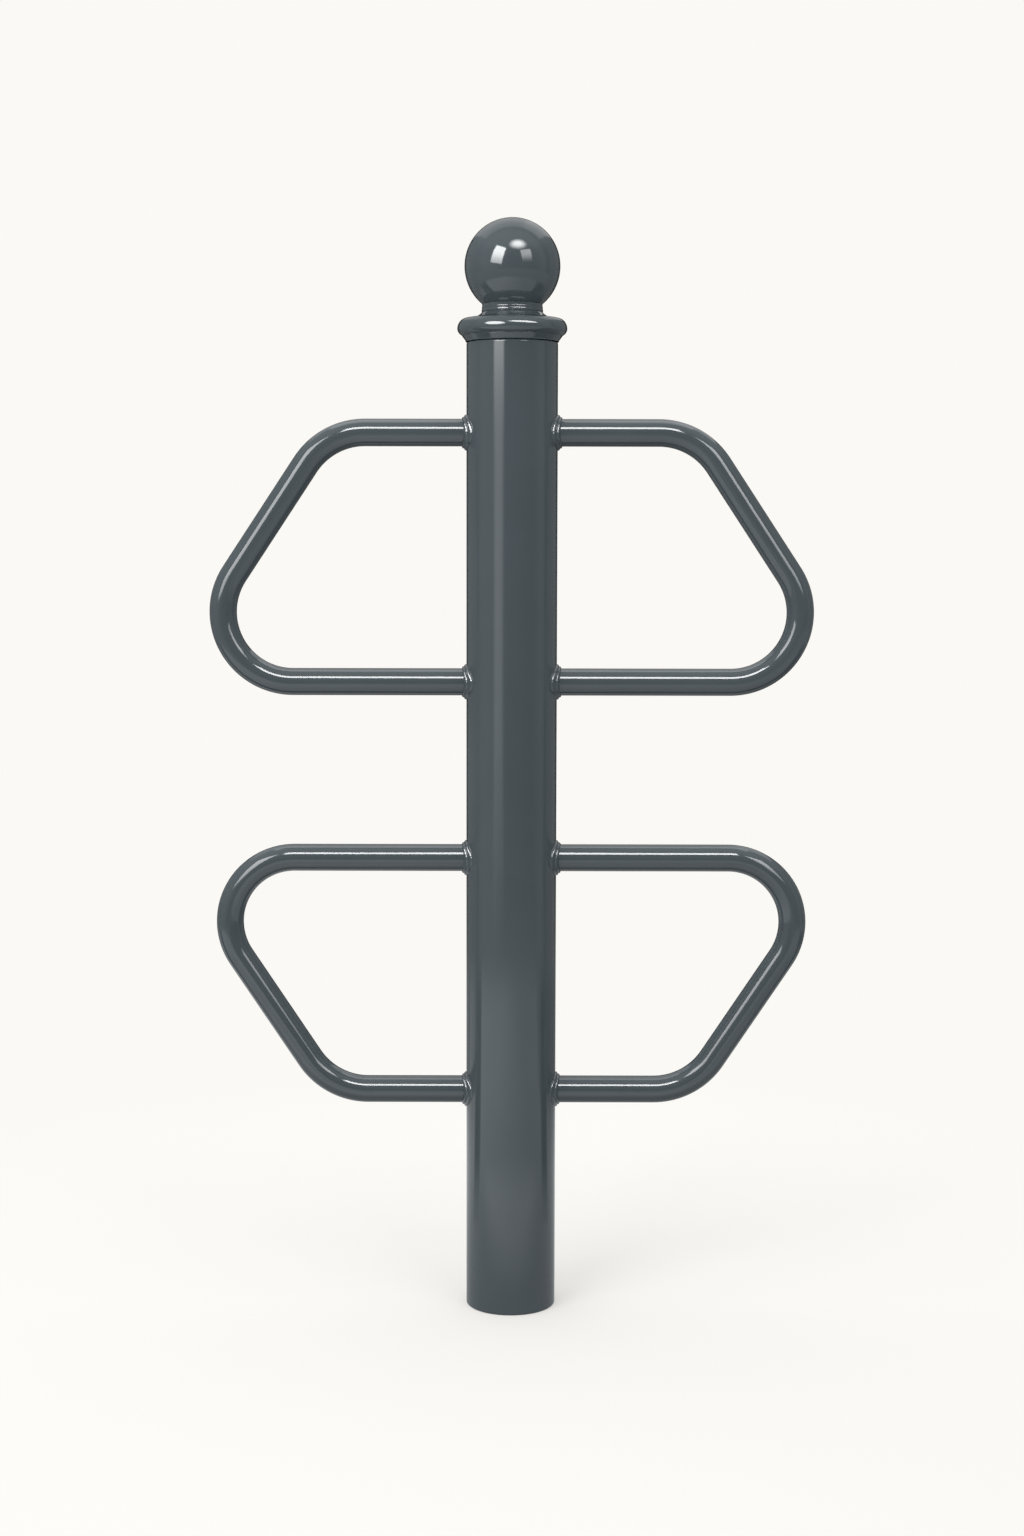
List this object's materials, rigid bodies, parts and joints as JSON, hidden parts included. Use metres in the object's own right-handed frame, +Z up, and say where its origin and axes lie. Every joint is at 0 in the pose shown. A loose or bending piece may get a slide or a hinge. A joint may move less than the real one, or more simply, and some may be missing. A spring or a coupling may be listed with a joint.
{
  "type": "two tier bike rack",
  "caption": "Upright round steel post with a ball finial and bent pipe loops welded to both sides in an upper and a lower tier, to lean and lock bicycles against.",
  "frame": {"origin": "the post's axis at the foot, on the ground", "axes": "+Z up the post, loops reach out along +X and -X, the pictured front faces -Y"},
  "size_m": [0.593, 0.1068, 1.0759],
  "materials": {
    "powder_coat": "dark slate grey gloss powder coat",
    "zinc_plate": "bright zinc plate"
  },
  "bodies": {
    "root": {"post": "powder_coat", "cap_collar": "powder_coat", "finial_ball": "powder_coat", "finial_stud": "zinc_plate", "finial_washer": "zinc_plate", "finial_nut": "zinc_plate", "upper_left_loop": "powder_coat", "upper_right_loop": "powder_coat", "lower_left_loop": "powder_coat", "lower_right_loop": "powder_coat", "weld_upper_left_short": "powder_coat", "weld_upper_left_long": "powder_coat", "weld_upper_right_short": "powder_coat", "weld_upper_right_long": "powder_coat", "weld_lower_left_short": "powder_coat", "weld_lower_left_long": "powder_coat", "weld_lower_right_short": "powder_coat", "weld_lower_right_long": "powder_coat"}
  },
  "joints": []
}
